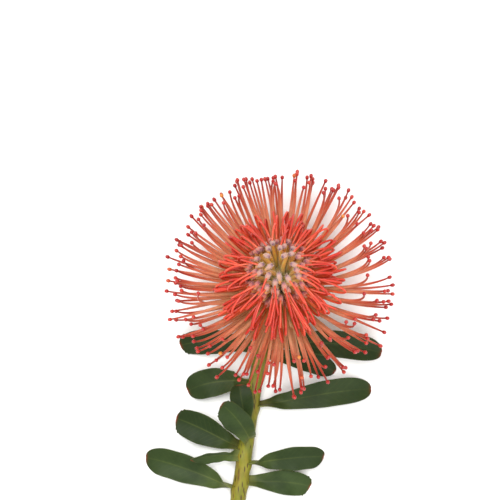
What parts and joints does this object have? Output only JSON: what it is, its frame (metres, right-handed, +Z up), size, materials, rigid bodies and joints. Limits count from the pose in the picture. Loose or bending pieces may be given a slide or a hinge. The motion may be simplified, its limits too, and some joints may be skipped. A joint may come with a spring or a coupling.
{
  "type": "pincushion protea flower",
  "caption": "Cut pincushion protea bloom with long curved styles round a woolly domed head, on a leafy stem that lies flat.",
  "frame": {"origin": "on the surface the flower lies on, under the middle of the whole flower", "axes": "+Y from the cut end of the stem to the bloom, +X across, +Z up from the surface"},
  "size_m": [0.1297, 0.2109, 0.0752],
  "materials": {
    "stem": "smooth yellow-green bark with brown scars",
    "bract": "downy, matt",
    "open_style": "waxy, satin",
    "looped_style": "waxy, satin",
    "closed_floret": "woolly, matt",
    "leaf": "leathery, dull"
  },
  "bodies": {
    "root": {"stem": "stem", "involucral_bracts": "bract", "open_florets": "open_style", "looped_florets": "looped_style", "closed_florets": "closed_floret", "leaf_01": "leaf", "leaf_02": "leaf", "leaf_03": "leaf", "leaf_04": "leaf", "leaf_05": "leaf", "leaf_06": "leaf", "leaf_07": "leaf", "leaf_08": "leaf", "leaf_09": "leaf", "leaf_10": "leaf", "leaf_11": "leaf", "leaf_12": "leaf"}
  },
  "joints": []
}
